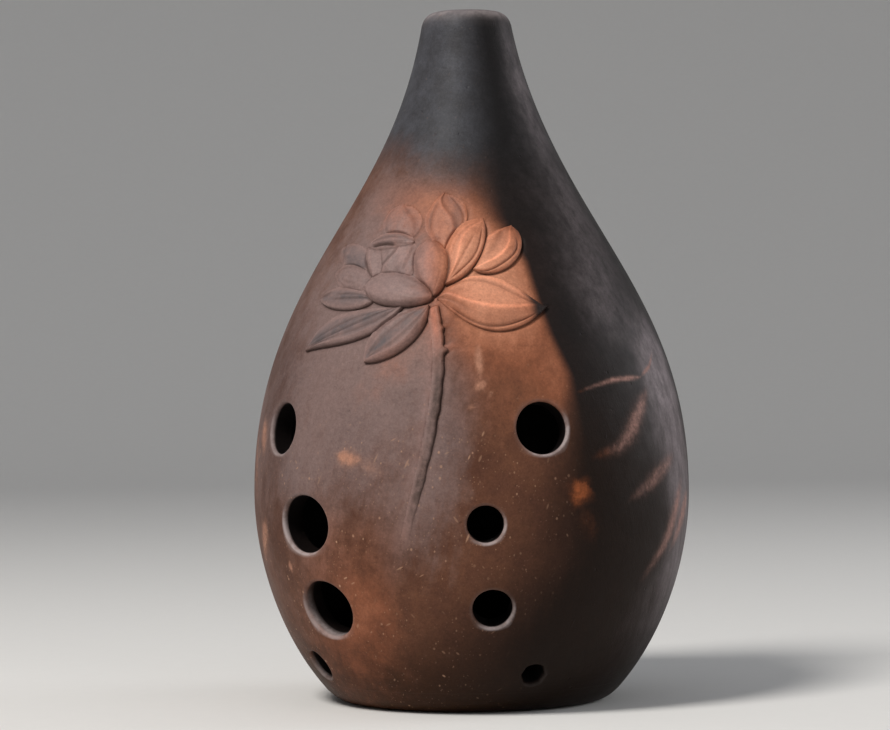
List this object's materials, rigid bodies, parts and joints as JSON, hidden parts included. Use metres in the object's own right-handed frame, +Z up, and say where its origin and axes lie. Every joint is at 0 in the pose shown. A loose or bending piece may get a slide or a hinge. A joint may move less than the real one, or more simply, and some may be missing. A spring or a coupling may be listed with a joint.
{
  "type": "xun",
  "caption": "Pear-shaped fired-clay vessel flute with a blow hole at the tip of its neck, finger and thumb holes through the wall, and a lotus spray in relief on the shoulder.",
  "frame": {"origin": "middle of the flat underside of the base", "axes": "+Z up along the vessel's axis to the blow hole, -Y to the front with the eight finger holes, +X to the right as seen from the front"},
  "size_m": [0.089, 0.0895, 0.14],
  "materials": {
    "vessel_clay": "burnished and smoke-fired",
    "base_clay": "smoothed and smoke-fired",
    "petal_clay": "carved, burnished on the high places",
    "stem_clay": "carved"
  },
  "bodies": {
    "root": {"base_disc": "base_clay", "lower_shell": "vessel_clay", "upper_shell": "vessel_clay", "lotus_stem": "stem_clay", "petal_back_left": "petal_clay", "petal_top": "petal_clay", "petal_far_left": "petal_clay", "petal_side": "petal_clay", "petal_left": "petal_clay", "petal_heart": "petal_clay", "petal_inner": "petal_clay", "petal_curled": "petal_clay", "petal_outer_right": "petal_clay", "petal_lower_right": "petal_clay", "petal_right": "petal_clay", "petal_lower_left": "petal_clay", "petal_lower": "petal_clay", "petal_centre": "petal_clay", "petal_front": "petal_clay"}
  },
  "joints": []
}
